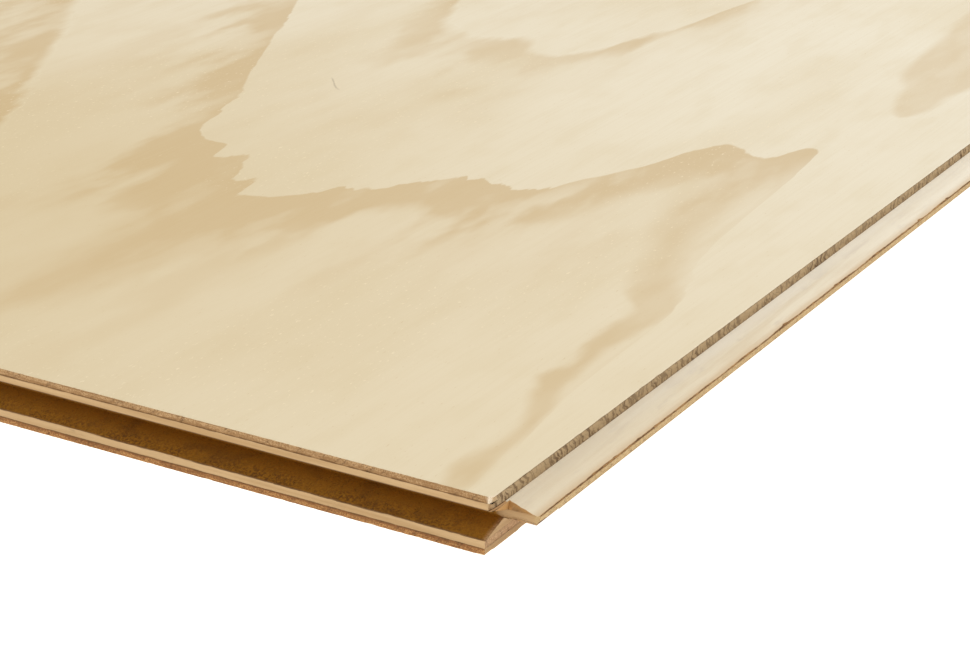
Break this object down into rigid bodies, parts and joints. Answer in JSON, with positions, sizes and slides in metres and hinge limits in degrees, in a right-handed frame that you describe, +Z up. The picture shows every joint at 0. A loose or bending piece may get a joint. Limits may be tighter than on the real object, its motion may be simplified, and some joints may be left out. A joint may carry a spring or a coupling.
{
  "type": "plywood sheet",
  "caption": "Softwood plywood flooring sheet, plies laid crosswise, with a tapered tongue on two edges and a matching groove on the opposite two.",
  "frame": {"origin": "middle of the sheet's overall length and width, on the underside", "axes": "+X along the face grain, towards the end with a tongue; +Y across the sheet, towards the long edge with a groove; +Z up through the thickness"},
  "size_m": [2.44, 1.22, 0.018],
  "materials": {
    "face_pine": "sanded, unfinished",
    "crossband_pine": "sawn, unfinished",
    "core_pine": "sawn, unfinished",
    "back_pine": "sanded, unfinished"
  },
  "bodies": {
    "root": {"face_veneer": "face_pine", "upper_crossband": "crossband_pine", "upper_long_core": "core_pine", "centre_veneer": "crossband_pine", "lower_long_core": "core_pine", "lower_crossband": "crossband_pine", "back_veneer": "back_pine"}
  },
  "joints": []
}
